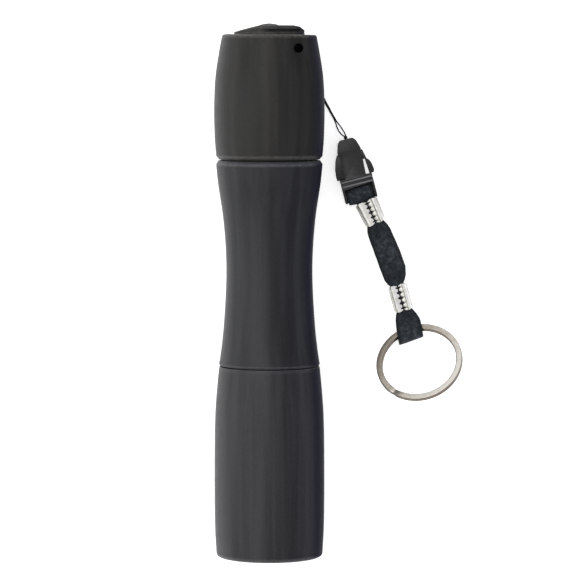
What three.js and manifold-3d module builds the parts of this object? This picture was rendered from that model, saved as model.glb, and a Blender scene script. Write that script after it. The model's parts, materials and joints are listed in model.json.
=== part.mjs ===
// Keychain flashlight: a waisted pocket torch lying on its side, with a wrist lanyard.
// Millimetres, +Z up. The torch's axis runs along Y, lens towards -Y, and the lanyard lies
// on the surface to its +X side. The origin is under the middle of the torch, where it rests.
import * as THREE from "three";
import { mergeVertices } from "three/addons/utils/BufferGeometryUtils.js";
import Module from "manifold-3d";

const wasm = await Module();
wasm.setup();

const DEG = Math.PI / 180;

// ---- driving dimensions -----------------------------------------------------------------
const BODY_LENGTH = 151.5; // lens rim to tail rim
const BUTTON_PROUD = 3.3; // top of the switch boot above the tail rim
const BULGE_R = 16.05; // largest radius, the same on head and cap so the torch lies level
const WAIST_R = 12.48; // smallest radius, at the grip
const HEAD_END = 55.7; // seam between head and grip, from the lens rim
const CAP_START = 115.45; // groove between grip and tail cap, from the lens rim
const BORE_R = 11.25; // room for the battery carrier
const GAP = 0.3; // between neighbouring pieces
const ROUND = 36; // sides of the shells; a flat side faces down
const INNER_ROUND = 24; // sides of the pieces inside them
const SMALL_ROUND = 16; // sides of the small turned pieces

const THREAD_PITCH = 2.4;
const THREAD_TURNS = 2;
const CELL_R = 5.05; // one AAA cell
const CELL_LENGTH = 43.4; // without the positive nub
const CARRIER_FRONT = 58;
const CARRIER_LENGTH = 52;

const HOLE_X = 8.4; // lanyard hole, to the right of the torch's axis
const HOLE_DEPTH = 3.9; // its axis below the tail rim
const HOLE_R = 1.35;
const MOAT_R = 11.9; // ring-shaped well behind the rim, which the hole opens into
const COLLAR_R = 10.2; // raised collar round the switch button
const COLLAR_BORE_R = 6.0;
const COLLAR_PROUD = 2.7; // above the tail rim
const CORD_D = 0.45;
const BUCKLE_ANGLE = 14.5 * DEG; // lean of the buckle from the torch's axis
const STRAP_ANGLE = 19.6 * DEG; // lean of the strap
const BUCKLE_THICK = 4.2;
const BAR_ALONG = 16.1; // webbing bar, from the buckle's top end
const FOLD_ALONG = 43.4; // ring fold, from the webbing bar
const RING_OUTER_R = 12.75;
const RING_WIRE = 1.8; // radial width of the flat wire
const RING_LEAF = 0.5; // thickness of one turn
const RING_PITCH = 0.75;
const RING_TILT = 38 * DEG; // the far side of the ring stands up

// ---- places worked out from them ---------------------------------------------------------
const AXIS_HEIGHT = BULGE_R * Math.cos(Math.PI / ROUND); // the lowest flat rests on z = 0
const TORCH_FRONT_Y = -(BODY_LENGTH + BUTTON_PROUD) / 2;
const TAIL_Y = TORCH_FRONT_Y + BODY_LENGTH; // tail rim, in the part's frame

const BUCKLE_TOP = new THREE.Vector3(22.4, TAIL_Y - 30.4, 0);
const BAR_CENTRE = new THREE.Vector3(0, -BAR_ALONG, 0)
  .applyAxisAngle(new THREE.Vector3(0, 0, 1), BUCKLE_ANGLE)
  .add(BUCKLE_TOP);

// ---- materials ---------------------------------------------------------------------------
function finish(color, roughness, metalness) {
  return new THREE.MeshStandardMaterial({ color, roughness, metalness });
}

const MATERIAL = {
  shell: () => finish(0x383836, 0.5, 0.0),
  inner_plastic: () => finish(0x1c1c1e, 0.55, 0.0),
  rubber: () => finish(0x2b2b2a, 0.8, 0.0),
  nickel: () => finish(0xc9c7c0, 0.3, 1.0),
  brass: () => finish(0xc9a24a, 0.35, 1.0),
  cell: () => finish(0x3f6f4f, 0.4, 0.3),
  heatsink: () => finish(0xb4b5b7, 0.4, 1.0),
  board: () => finish(0x1f5a36, 0.5, 0.0),
  led: () => finish(0xe8d27a, 0.3, 0.0),
  lens: () => finish(0xdfe6e8, 0.05, 0.0),
  mirror: () => finish(0xe6e6e4, 0.08, 1.0),
  buckle: () => finish(0x2b2b2d, 0.35, 0.0),
  webbing: () => finish(0x24282c, 0.9, 0.0),
  cord: () => finish(0x17181a, 0.8, 0.0),
  crimp: () => finish(0xd4d3ca, 0.3, 1.0),
  ring: () => finish(0xb9b2a8, 0.25, 1.0),
};

// ---- solids ------------------------------------------------------------------------------
function toSolid(geometry) {
  const bare = geometry.clone();
  bare.deleteAttribute("normal");
  bare.deleteAttribute("uv");
  const merged = mergeVertices(bare, 1e-4);
  const corners = merged.index.array;
  const kept = [];
  for (let i = 0; i < corners.length; i += 3) {
    const [a, b, c] = corners.slice(i, i + 3);
    if (a !== b && b !== c && c !== a) kept.push(a, b, c);
  }
  const vertProperties = new Float32Array(merged.attributes.position.array);
  const triVerts = new Uint32Array(kept);
  return new wasm.Manifold(new wasm.Mesh({ numProp: 3, vertProperties, triVerts }));
}

function toGeometry(solid) {
  const mesh = solid.getMesh();
  const geometry = new THREE.BufferGeometry();
  geometry.setAttribute("position", new THREE.BufferAttribute(mesh.vertProperties, 3));
  geometry.setIndex(new THREE.BufferAttribute(mesh.triVerts, 1));
  geometry.computeVertexNormals();
  return geometry;
}

function named(name, geometry, material) {
  const mesh = new THREE.Mesh(geometry, material());
  mesh.name = name;
  return mesh;
}

// A body turned about Y. The outline is [radius, y] and closes on itself, or on the axis.
function turned(outline, sides = ROUND) {
  const points = outline.map(([r, y]) => new THREE.Vector2(r, y));
  if (THREE.ShapeUtils.area(points) < 0) points.reverse();
  const onAxis = points.findIndex((p, i) => p.x === 0 && points.at(i - 1).x === 0);
  const hollow = onAxis < 0;
  const ordered = hollow ? [...points, points[0]] : [...points.slice(onAxis), ...points.slice(0, onAxis)];
  const lathe = new THREE.LatheGeometry(ordered, sides, Math.PI / sides);
  return toGeometry(toSolid(lathe));
}

function ringOutline(inner, outer, from, to) {
  return [[inner, from], [outer, from], [outer, to], [inner, to]];
}

function disc(radius, from, to) {
  return turned([[0, from], [radius, from], [radius, to], [0, to]], INNER_ROUND);
}

function curvePoints(points, steps) {
  const curve = new THREE.SplineCurve(points.map(([r, y]) => new THREE.Vector2(r, y)));
  return curve.getPoints(steps).map((p) => [p.x, p.y]);
}

// A plan outline with its depth along Z.
function plate(outline, from, to) {
  const shape = new THREE.Shape(outline.map(([x, y]) => new THREE.Vector2(x, y)));
  const body = new THREE.ExtrudeGeometry(shape, { depth: to - from, bevelEnabled: false });
  return body.translate(0, 0, from);
}

function block(x0, x1, y0, y1, z0, z1) {
  const box = new THREE.BoxGeometry(x1 - x0, y1 - y0, z1 - z0);
  return box.translate((x0 + x1) / 2, (y0 + y1) / 2, (z0 + z1) / 2);
}

class Helix extends THREE.Curve {
  constructor(radius, pitch, turns, startY = 0, endRadius = radius) {
    super();
    Object.assign(this, { radius, pitch, turns, startY, endRadius });
  }
  getPoint(t, target = new THREE.Vector3()) {
    const angle = 2 * Math.PI * this.turns * t;
    const r = THREE.MathUtils.lerp(this.radius, this.endRadius, t);
    const y = this.startY + this.pitch * this.turns * t;
    return target.set(r * Math.sin(angle), y, r * Math.cos(angle));
  }
}

function section(radius, sides) {
  const corners = Array.from({ length: sides }, (_, i) => {
    const angle = (2 * Math.PI * (i + 0.5)) / sides;
    return new THREE.Vector2(radius * Math.cos(angle), radius * Math.sin(angle));
  });
  return new THREE.Shape(corners);
}

function along(path, shape, steps) {
  return new THREE.ExtrudeGeometry(shape, { extrudePath: path, steps, bevelEnabled: false });
}

function coilSpring(name, wire, path, perTurn = 10, sides = 5) {
  const steps = Math.round(path.turns * perTurn);
  return named(name, along(path, section(wire / 2, sides), steps), MATERIAL.nickel);
}

function oRing(name, ringR, sectionR, y) {
  const corners = Array.from({ length: 6 }, (_, i) => {
    const angle = (2 * Math.PI * i) / 6;
    return [ringR + sectionR * Math.cos(angle), y + sectionR * Math.sin(angle)];
  });
  return named(name, turned(corners, INNER_ROUND), MATERIAL.rubber);
}

// ---- torch -------------------------------------------------------------------------------
const torch = new THREE.Group();
torch.position.set(0, TORCH_FRONT_Y, AXIS_HEIGHT);

function thread(radius, ridge, from) {
  const shape = new THREE.Shape([
    new THREE.Vector2(-ridge, -0.4),
    new THREE.Vector2(ridge, -0.22),
    new THREE.Vector2(ridge, 0.22),
    new THREE.Vector2(-ridge, 0.4),
  ]);
  // The section's first axis points inwards along the helix, so an outward ridge is turned over.
  const path = new Helix(radius, THREAD_PITCH, THREAD_TURNS, from);
  return along(path, shape, Math.round(THREAD_TURNS * 18));
}

const SPIGOT_R = 12.8;
const CAP_BORE_R = 13.75;
const SPIGOT_END = 126;
const THREAD_FROM = 119.3;
const SEAL_GROOVE = [116.5, 118.1];
const SEAL_GROOVE_R = 12.15;

function gripTube() {
  const skin = curvePoints([
    [14.45, HEAD_END + GAP / 2], [13.3, 66.7], [WAIST_R, 84.1], [13.3, 98], [14.85, 108.7], [15.45, 114.3],
  ], 9);
  const outline = [
    [BORE_R, 46],
    [13.0, 46],
    [13.0, HEAD_END + GAP / 2],
    ...skin,
    [14.5, CAP_START - GAP / 2],
    [SPIGOT_R, CAP_START - GAP / 2],
    [SPIGOT_R, SEAL_GROOVE[0]],
    [SEAL_GROOVE_R, SEAL_GROOVE[0]],
    [SEAL_GROOVE_R, SEAL_GROOVE[1]],
    [SPIGOT_R, SEAL_GROOVE[1]],
    [SPIGOT_R, SPIGOT_END - 0.5],
    [SPIGOT_R - 0.5, SPIGOT_END],
    [BORE_R, SPIGOT_END],
  ];
  const ridge = toSolid(thread(SPIGOT_R + 0.15, -0.35, THREAD_FROM));
  return named("grip_tube", toGeometry(toSolid(turned(outline)).add(ridge)), MATERIAL.shell);
}

function headShell() {
  const skin = curvePoints([
    [15.5, 1.2], [15.85, 8], [BULGE_R, 24], [15.75, 41.5], [15.2, 49.3], [14.5, HEAD_END - GAP / 2],
  ], 8);
  const outline = [
    [13.4, 0],
    [14.3, 0],
    [15.1, 0.35],
    ...skin,
    [13.3, HEAD_END - GAP / 2],
    [13.3, 45.7],
    [13.6, 45.7],
    [13.6, 5.5],
    [13.2, 5.5],
    [13.2, 2.0],
    [13.4, 2.0],
  ];
  return named("head_shell", turned(outline), MATERIAL.shell);
}

// Everything above the collar's sloping top: low at the left, full height from the middle on.
function aboveCollar() {
  const reach = COLLAR_R + 1;
  const profile = [
    [-reach, 0.2], [-2.8, COLLAR_PROUD], [8.6, COLLAR_PROUD], [reach, 1.5], [reach, 5], [-reach, 5],
  ];
  return toSolid(plate(profile.map(([x, up]) => [x, BODY_LENGTH + up]), -reach, reach));
}

// The hole stops at the moat, so it pierces the rim wall only, at top and bottom.
function lanyardHole() {
  const hole = new THREE.CylinderGeometry(HOLE_R, HOLE_R, 40, 16);
  hole.rotateX(Math.PI / 2).translate(HOLE_X, BODY_LENGTH - HOLE_DEPTH, 0);
  const collar = new THREE.CylinderGeometry(COLLAR_R, COLLAR_R, 8, ROUND);
  collar.rotateY(Math.PI / ROUND).translate(0, BODY_LENGTH - HOLE_DEPTH, 0);
  return toSolid(hole).subtract(toSolid(collar));
}

function tailCap() {
  const webFront = 141.5;
  const webBack = 145.8;
  const chamberR = 12.4;
  const collarTop = BODY_LENGTH + COLLAR_PROUD + 0.5; // before its slope is cut
  const skin = curvePoints([
    [15.35, 116.5], [BULGE_R, 130.2], [15.55, 139.6], [14.4, 147.3], [13.75, 150.6],
  ], 7);
  const outline = [
    [CAP_BORE_R, CAP_START + GAP / 2],
    [14.5, CAP_START + GAP / 2],
    ...skin,
    [13.45, 151.25],
    [12.95, BODY_LENGTH],
    [MOAT_R, BODY_LENGTH],
    [MOAT_R, webBack],
    [COLLAR_R, webBack],
    [COLLAR_R, collarTop],
    [COLLAR_BORE_R, collarTop],
    [COLLAR_BORE_R, webFront],
    [chamberR, webFront],
    [chamberR, 127],
    [CAP_BORE_R, 127],
  ];
  const body = toSolid(turned(outline));
  const ridge = toSolid(thread(CAP_BORE_R - 0.15, 0.35, THREAD_FROM - THREAD_PITCH / 2));
  const cut = body.add(ridge).subtract(aboveCollar()).subtract(lanyardHole());
  return named("tail_cap", toGeometry(cut), MATERIAL.shell);
}

function lensGroup() {
  return [
    named("bezel_ring", turned(ringOutline(11.7, 12.85, 0.5, 2.3), INNER_ROUND), MATERIAL.inner_plastic),
    oRing("lens_o_ring", 12.3, 0.42, 2.95),
    named("lens", disc(12.8, 3.6, 5.2), MATERIAL.lens),
  ];
}

function reflector() {
  const bowl = curvePoints([[12.1, 5.6], [10.6, 9.5], [7.6, 15.6], [3.3, 21.6]], 5);
  const back = curvePoints([[4.2, 21.9], [8.6, 16.1], [11.6, 10], [12.9, 6.9]], 4);
  return named("reflector", turned([...bowl, ...back, [12.9, 5.6]], INNER_ROUND), MATERIAL.mirror);
}

function ledUnit() {
  const base = toSolid(block(-1.75, 1.75, 21.5, 22.3, -1.75, 1.75));
  const bulb = [[0, 20.0], [0.9, 20.2], [1.45, 20.8], [1.55, 21.6], [0, 21.6]];
  const dome = toSolid(turned(bulb, SMALL_ROUND));
  return [
    named("led_emitter", toGeometry(base.add(dome)), MATERIAL.led),
    named("led_board", disc(8, 22.6, 24.2), MATERIAL.board),
    named("led_holder", turned([
      [0, 24.5], [13.2, 24.5], [13.2, 45.4], [12.4, 45.4], [12.4, 29], [0, 29],
    ], INNER_ROUND), MATERIAL.heatsink),
    named("driver_board", disc(11.9, 42.6, 44.2), MATERIAL.board),
  ];
}

function frontContactSpring() {
  const path = new Helix(4.6, 1.95, 6, 45.0, 2.6);
  return coilSpring("front_contact_spring", 0.7, path);
}

function switchParts() {
  const housing = turned([
    [2.2, 122], [8.7, 122], [8.7, 130.3], [12.1, 130.3], [12.1, 132.6], [8.7, 132.6],
    [8.7, 139.9], [5.7, 139.9], [5.7, 126], [2.2, 126],
  ], INNER_ROUND);
  const post = turned([
    [0, 110.3], [4.2, 110.3], [4.2, 111.4], [1.7, 111.4], [1.7, 125.2], [0, 125.2],
  ], SMALL_ROUND);
  const boot = turned([
    [4.35, 140.2], [7.6, 140.2], [7.6, 141.2], [5.4, 141.2], [5.4, 152.1],
    ...curvePoints([[5.35, 152.3], [4.2, 153.55], [2.3, 154.5], [0, BODY_LENGTH + BUTTON_PROUD]], 5),
    [0, 153.75],
    ...curvePoints([[2.0, 153.45], [3.6, 152.7], [4.35, 151.7]], 3),
  ], INNER_ROUND);
  return [
    named("switch_housing", housing, MATERIAL.inner_plastic),
    named("switch_retainer", turned(ringOutline(9.1, 12.1, 127.4, 130.0), INNER_ROUND), MATERIAL.brass),
    named("tail_contact_post", post, MATERIAL.brass),
    coilSpring("switch_return_spring", 0.55, new Helix(4.6, 1.25, 5, 126.65)),
    named("switch_boot", boot, MATERIAL.rubber),
  ];
}

function plunger() {
  const outline = [
    [0, 133.6], [5.3, 133.6], [5.3, 134.9], [3.9, 134.9], [3.9, 151.0],
    [3.2, 152.3], [1.8, 153.1], [0, 153.3],
  ];
  return named("switch_plunger", turned(outline, SMALL_ROUND), MATERIAL.inner_plastic);
}

// ---- battery carrier ---------------------------------------------------------------------
const CELL_CIRCLE = (2 * CELL_R) / Math.sqrt(3) + 0.1;
const STRUT_CIRCLE = 9.35;

function rod(radius, x, z, from, to, sides = 12) {
  const body = new THREE.CylinderGeometry(radius, radius, to - from, sides);
  return body.translate(x, (from + to) / 2, z);
}

function onCircle(radius, angle) {
  return [radius * Math.sin(angle), radius * Math.cos(angle)];
}

function carrier() {
  const back = CARRIER_FRONT + CARRIER_LENGTH;
  const plateR = 10.7;
  const endPlate = (from) => toSolid(turned(ringOutline(3.0, plateR, from, from + 2), INNER_ROUND));
  let frame = endPlate(CARRIER_FRONT).add(endPlate(back - 2));
  const parts = [
    named("carrier_front_contact", turned([
      [0, CARRIER_FRONT - 0.1], [2.6, CARRIER_FRONT - 0.1], [2.6, CARRIER_FRONT + 2.2],
      [0, CARRIER_FRONT + 2.2],
    ], SMALL_ROUND), MATERIAL.brass),
    named("carrier_rear_contact", turned([
      [0, back - 2.2], [2.6, back - 2.2], [2.6, back], [0, back],
    ], SMALL_ROUND), MATERIAL.brass),
  ];
  for (let i = 0; i < 3; i += 1) {
    const angle = (2 * Math.PI * i) / 3;
    const [cx, cz] = onCircle(CELL_CIRCLE, angle);
    const [sx, sz] = onCircle(STRUT_CIRCLE, angle + Math.PI / 3);
    frame = frame.add(toSolid(rod(1.3, sx, sz, CARRIER_FRONT + 1, back - 1)));
    const forward = i % 2 === 0 ? 1 : -1; // neighbouring cells point opposite ways
    const cell = named(`battery_cell_${i + 1}`, turned([
      [0, 0], [CELL_R - 0.4, 0], [CELL_R, 0.4], [CELL_R, CELL_LENGTH - 0.4],
      [CELL_R - 0.4, CELL_LENGTH], [1.9, CELL_LENGTH], [1.9, CELL_LENGTH + 1], [0, CELL_LENGTH + 1],
    ], SMALL_ROUND), MATERIAL.cell);
    const nubEnd = forward > 0 ? back - 2.4 : CARRIER_FRONT + 2.4;
    cell.position.set(cx, nubEnd - forward * (CELL_LENGTH + 1), cz);
    if (forward < 0) cell.rotation.z = Math.PI;
    const spring = coilSpring(`cell_spring_${i + 1}`, 0.5, new Helix(3.6, 0.9, 2, 0, 2.0), 10, 5);
    spring.position.set(cx, forward > 0 ? CARRIER_FRONT + 2.5 : back - 2.5, cz);
    if (forward < 0) spring.rotation.z = Math.PI;
    parts.push(cell, spring);
  }
  return [named("carrier_frame", toGeometry(frame), MATERIAL.inner_plastic), ...parts];
}

torch.add(gripTube(), headShell(), tailCap(), ...lensGroup(), reflector(), ...ledUnit());
torch.add(frontContactSpring(), ...switchParts(), plunger(), ...carrier());
torch.add(oRing("cap_o_ring", 12.9, 0.45, 117.3));

// ---- lanyard cord ------------------------------------------------------------------------
// [x, distance from the tail rim, z]: knot, strand, hole, rim, bight, rim, hole, strand, knot.
const CORD_ROUTE = [
  [21.68, 28.97, 2.1], [20.15, 27.75, 1.2], [19.15, 25.6, 0.55], [17.35, 22.2, 0.3],
  [15.2, 18.0, 0.3], [12.8, 13.4, 0.45], [10.6, 9.2, 1.2], [9.0, 6.2, 2.2],
  [8.15, 4.4, 2.95], [8.05, 3.6, 4.1], [8.05, 3.45, 6.0], [8.0, 3.0, 7.9],
  [7.8, 1.6, 8.5], [7.55, 0.1, 8.1], [7.4, -0.6, 6.6], [7.3, -0.4, 4.9],
  [7.25, 0.5, 3.95], [7.2, 2.5, 3.35], [7.3, 4.3, 3.05], [8.35, 5.85, 3.4],
  [9.45, 4.4, 3.95], [9.55, 2.5, 4.5], [9.5, 0.7, 5.3], [9.4, -0.4, 6.4],
  [9.3, -0.7, 7.9], [9.2, 0.0, 9.45], [9.05, 1.6, 9.7], [8.8, 3.0, 8.9],
  [8.75, 3.45, 7.0], [8.75, 3.6, 4.7], [8.85, 4.35, 3.3], [9.75, 6.0, 2.3],
  [11.25, 8.9, 1.25], [13.45, 13.1, 0.5], [15.85, 17.7, 0.3], [18.0, 21.9, 0.3],
  [19.9, 25.3, 0.55], [21.55, 27.05, 1.2], [22.33, 28.8, 2.1],
];

function lanyardCord() {
  const points = CORD_ROUTE.map(([x, down, z]) => new THREE.Vector3(x, TAIL_Y - down, z));
  const route = new THREE.CatmullRomCurve3(points, false, "centripetal");
  return named("lanyard_cord", along(route, section(CORD_D / 2, 8), 64), MATERIAL.cord);
}

// ---- buckle ------------------------------------------------------------------------------
// In the buckle's own frame Y runs up to the torch, from 0 at its top end.
const buckle = new THREE.Group();
buckle.position.copy(BUCKLE_TOP);
buckle.rotation.z = BUCKLE_ANGLE;
const MID = BUCKLE_THICK / 2;
const FLOOR = 0.05; // the pieces lie this far above the surface

function mirrored(points) {
  return [...points, ...points.map(([x, y]) => [-x, y]).reverse()];
}

function buckleSocket() {
  const outline = mirrored([[1.7, 0], [2.2, -0.5], [3.3, -3.2], [4.15, -7.6], [4.8, -11.4], [4.8, -12.8]]);
  const cavity = mirrored([[1.6, -2.2], [3.35, -3.8], [3.95, -10], [3.95, -13.5]]);
  let socket = toSolid(plate(outline, FLOOR, BUCKLE_THICK));
  socket = socket.subtract(toSolid(plate(cavity, 1.05, BUCKLE_THICK - 1)));
  for (const side of [-1, 1]) {
    const inner = Math.min(side * 3.1, side * 6);
    const outer = Math.max(side * 3.1, side * 6);
    socket = socket.subtract(toSolid(block(inner, outer, -10.5, -3.9, -1, 6)));
  }
  // a raised rib across the mouth, and the hole that the cord's stub goes through
  socket = socket.add(toSolid(block(-4.7, 4.7, -12.7, -11.9, BUCKLE_THICK - 0.2, BUCKLE_THICK + 0.35)));
  const eye = new THREE.CylinderGeometry(0.6, 0.6, 5, 12).translate(0, -1.2, MID);
  return named("buckle_socket", toGeometry(socket.subtract(toSolid(eye))), MATERIAL.buckle);
}

function bucklePlug() {
  const end = -17.0;
  let plug = toSolid(block(-4.85, 4.85, end, -13.15, FLOOR, BUCKLE_THICK));
  plug = plug.subtract(toSolid(block(-4.3, 4.3, end - 1, -13.85, -1, 6)));
  plug = plug.add(toSolid(block(-4.6, 4.6, -13.8, -13.2, BUCKLE_THICK - 0.2, BUCKLE_THICK + 0.35)));
  plug = plug.add(toSolid(block(-1.0, 1.0, -13.5, -7, 1.4, BUCKLE_THICK - 1.35)));
  const bar = new THREE.CylinderGeometry(0.6, 0.6, 8.7, 8);
  bar.rotateZ(Math.PI / 2).translate(0, -BAR_ALONG, MID);
  return named("buckle_plug", toGeometry(plug.add(toSolid(bar))), MATERIAL.buckle);
}

function buckleProng(name, side) {
  const outline = [
    [2.25, -12.8], [3.05, -12.8], [3.05, -6.3], [3.6, -6.3], [3.85, -10.15], [5.25, -10.15],
    [5.3, -9.3], [4.75, -7.4], [3.9, -5.3], [3.2, -4.3], [2.6, -4.3], [2.25, -5.0],
  ];
  const prong = plate(outline.map(([x, y]) => [side * x, y]), 1.35, BUCKLE_THICK - 1.3);
  return named(name, prong, MATERIAL.buckle);
}

function cordKnot() {
  const outline = [
    [0, -3.1], [0.75, -2.9], [0.75, -2.6], [0.28, -2.4], [0.28, -0.1], [0.55, 0.1],
    [0.75, 0.6], [0.55, 1.05], [0, 1.25],
  ];
  const knot = named("cord_knot", turned(outline, 12), MATERIAL.cord);
  knot.position.z = MID;
  return knot;
}

buckle.add(buckleSocket(), bucklePlug(), cordKnot());
buckle.add(buckleProng("buckle_prong_left", -1), buckleProng("buckle_prong_right", 1));

// ---- strap -------------------------------------------------------------------------------
// In the strap's own frame Y runs back to the buckle, from 0 at the webbing bar.
const strap = new THREE.Group();
strap.position.copy(BAR_CENTRE);
strap.rotation.z = STRAP_ANGLE;

const WEB = 0.55; // one layer of webbing
const BAR_EYE_R = 1.15;
const FOLD_EYE_R = 1.75;
const LAY_Z = 1.55; // middle of the doubled strap above the surface
const FOLD_Z = FOLD_EYE_R + WEB + FLOOR;
// how far the strap's middle bows to the side, along its length
const SIDE_SHIFT = [
  [0, 0], [1.8, 0.15], [2.6, 0.95], [10.4, 1.5], [11.6, 1.8], [20, 1.9], [28.6, 1.4], [37.6, 0.65],
  [43.4, -0.2], [46, -0.3],
];

// A round eye in the strap's side view, walked from its upper to its lower tangent.
function eyeArc(cx, cz, radius, from, to, steps) {
  return Array.from({ length: steps + 1 }, (_, i) => {
    const angle = THREE.MathUtils.lerp(from, to, i / steps) * DEG;
    return [cx + radius * Math.cos(angle), cz + radius * Math.sin(angle)];
  });
}

function strapWebbing() {
  const half = WEB - 0.1; // squeezed where the crimps grip it
  const side = new THREE.Shape([
    ...eyeArc(0, MID, BAR_EYE_R + WEB, 60, 300, 10),
    [2.6, LAY_Z - half], [10.6, LAY_Z - half], [14, LAY_Z - 1.05], [26, LAY_Z - 1.05],
    [29.4, LAY_Z - half], [37.6, LAY_Z - half],
    ...eyeArc(FOLD_ALONG, FOLD_Z, FOLD_EYE_R + WEB, 240, 480, 12),
    [37.6, LAY_Z + half], [29.4, LAY_Z + half], [26, LAY_Z + 1.05], [14, LAY_Z + 1.05],
    [10.6, LAY_Z + half], [2.6, LAY_Z + half],
  ].map(([u, z]) => new THREE.Vector2(u, z)));
  for (const [cx, cz, radius] of [[0, MID, BAR_EYE_R], [FOLD_ALONG, FOLD_Z, FOLD_EYE_R]]) {
    const eye = eyeArc(cx, cz, radius, 0, 330, 11).map(([u, z]) => new THREE.Vector2(u, z));
    side.holes.push(new THREE.Path(eye));
  }
  const width = 12;
  const body = new THREE.ExtrudeGeometry(side, { depth: width, bevelEnabled: false });
  const across = new THREE.Matrix4().makeBasis(
    new THREE.Vector3(0, -1, 0),
    new THREE.Vector3(0, 0, 1),
    new THREE.Vector3(-1, 0, 0),
  );
  body.applyMatrix4(across).translate(width / 2, 0, 0);
  // plan view: half widths along the strap, narrow where the crimps grip it
  const widths = [
    [-2.5, 3.65], [1.9, 3.6], [2.5, 2.5], [10.7, 2.5], [11.2, 3.0], [12.6, 3.5], [20, 3.75], [27, 3.5],
    [28.6, 2.6], [28.9, 1.95], [37.9, 1.95], [38.5, 2.7], [39.8, 3.4], [47, 3.65],
  ];
  const right = widths.map(([u, reach]) => [sideShift(u) + reach, -u]);
  const left = widths.map(([u, reach]) => [sideShift(u) - reach, -u]);
  const plan = toSolid(plate([...right, ...left.reverse()], -1, 6));
  return named("strap_webbing", toGeometry(toSolid(body).intersect(plan)), MATERIAL.webbing);
}

function sideShift(u) {
  const next = SIDE_SHIFT.findIndex(([at]) => at >= u);
  if (next <= 0) return SIDE_SHIFT.at(next)[1];
  const [[u0, v0], [u1, v1]] = [SIDE_SHIFT[next - 1], SIDE_SHIFT[next]];
  return v0 + ((v1 - v0) * (u - u0)) / (u1 - u0);
}

// A metal sleeve folded round the strap, its two lips rolled in to a seam along the top.
function crimp(name, width, from, length, shift, turn) {
  const wall = 0.38;
  const outer = 1.5;
  const halfW = width / 2;
  const lobe = (inset) => [
    [halfW - 1.1, -outer + inset], [halfW - inset, -outer + 0.9], [halfW - inset, 0.55],
    [halfW - 0.75, outer - inset], [0.42 * halfW, outer - inset], [0.25, outer - 0.35 - inset],
  ];
  const rightSide = lobe(0);
  const inside = lobe(wall).reverse();
  const outline = [
    ...rightSide, ...inside,
    ...inside.map(([x, z]) => [-x, z]).reverse(), ...rightSide.map(([x, z]) => [-x, z]).reverse(),
  ];
  const shape = new THREE.Shape(outline.map(([x, z]) => new THREE.Vector2(x, z)));
  const sleeve = new THREE.ExtrudeGeometry(shape, { depth: length, bevelEnabled: false });
  sleeve.translate(0, 0, -length / 2);
  sleeve.rotateX(Math.PI / 2);
  const mesh = named(name, sleeve, MATERIAL.crimp);
  mesh.position.set(shift, -(from + length / 2), LAY_Z);
  mesh.rotation.z = turn;
  return mesh;
}

// ---- ring --------------------------------------------------------------------------------
class RingTurns extends THREE.Curve {
  getPoint(t, target = new THREE.Vector3()) {
    const angle = 4 * Math.PI * t;
    const r = RING_OUTER_R - RING_WIRE / 2;
    return target.set(r * Math.cos(angle), r * Math.sin(angle), RING_PITCH * (2 * t - 1));
  }
}

function keyRing() {
  const half = RING_WIRE / 2;
  const leaf = RING_LEAF / 2;
  const wire = new THREE.Shape([
    new THREE.Vector2(-half, -leaf),
    new THREE.Vector2(half, -leaf),
    new THREE.Vector2(half, leaf),
    new THREE.Vector2(-half, leaf),
  ]);
  const ring = named("key_ring", along(new RingTurns(), wire, 72), MATERIAL.ring);
  const reach = 11.5; // ring centre to the middle of the wire's path through the fold
  const tilt = new THREE.Group();
  tilt.position.set(sideShift(FOLD_ALONG), -FOLD_ALONG, FOLD_Z);
  tilt.rotation.x = -RING_TILT;
  ring.position.set(0, -reach, 0);
  tilt.add(ring);
  return tilt;
}

strap.add(strapWebbing());
strap.add(crimp("crimp_upper", 6.5, 3.0, 7.4, 1.25, 4 * DEG));
strap.add(crimp("crimp_lower", 5.2, 29.5, 7.9, 1.02, -5 * DEG));
strap.add(keyRing());

const flashlight = new THREE.Group();
flashlight.name = "keychain_flashlight";
flashlight.add(torch, lanyardCord(), buckle, strap);

export default flashlight;
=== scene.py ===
"""A keychain flashlight lying on a pale floor, with its wrist lanyard beside it.

Outlines are in millimetres, each in the frame of the part that it belongs to. That part's
matrix turns them into metres in the row frame.
"""
import json
import math

import bmesh
import bpy
import numpy as np
from mathutils import Matrix, Vector, noise


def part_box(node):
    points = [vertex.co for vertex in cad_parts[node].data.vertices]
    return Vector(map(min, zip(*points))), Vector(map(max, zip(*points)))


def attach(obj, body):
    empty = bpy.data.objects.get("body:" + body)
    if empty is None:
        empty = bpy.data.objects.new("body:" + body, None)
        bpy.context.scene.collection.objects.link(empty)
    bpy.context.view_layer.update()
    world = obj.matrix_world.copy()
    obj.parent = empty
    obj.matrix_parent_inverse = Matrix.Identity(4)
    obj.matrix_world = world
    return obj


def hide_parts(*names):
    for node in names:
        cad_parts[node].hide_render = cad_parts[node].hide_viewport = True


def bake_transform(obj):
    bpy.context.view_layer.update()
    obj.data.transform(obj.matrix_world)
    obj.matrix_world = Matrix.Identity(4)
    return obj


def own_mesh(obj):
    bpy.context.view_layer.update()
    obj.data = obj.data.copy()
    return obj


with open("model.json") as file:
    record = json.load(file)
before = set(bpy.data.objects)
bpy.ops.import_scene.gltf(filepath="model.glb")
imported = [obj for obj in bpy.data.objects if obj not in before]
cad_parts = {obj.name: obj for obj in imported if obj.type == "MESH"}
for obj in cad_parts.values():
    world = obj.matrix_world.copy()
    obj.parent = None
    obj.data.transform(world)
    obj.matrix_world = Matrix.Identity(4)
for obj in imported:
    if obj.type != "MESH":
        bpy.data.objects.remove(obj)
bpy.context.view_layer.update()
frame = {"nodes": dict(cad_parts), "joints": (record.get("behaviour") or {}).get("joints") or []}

MM = 0.001

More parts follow.
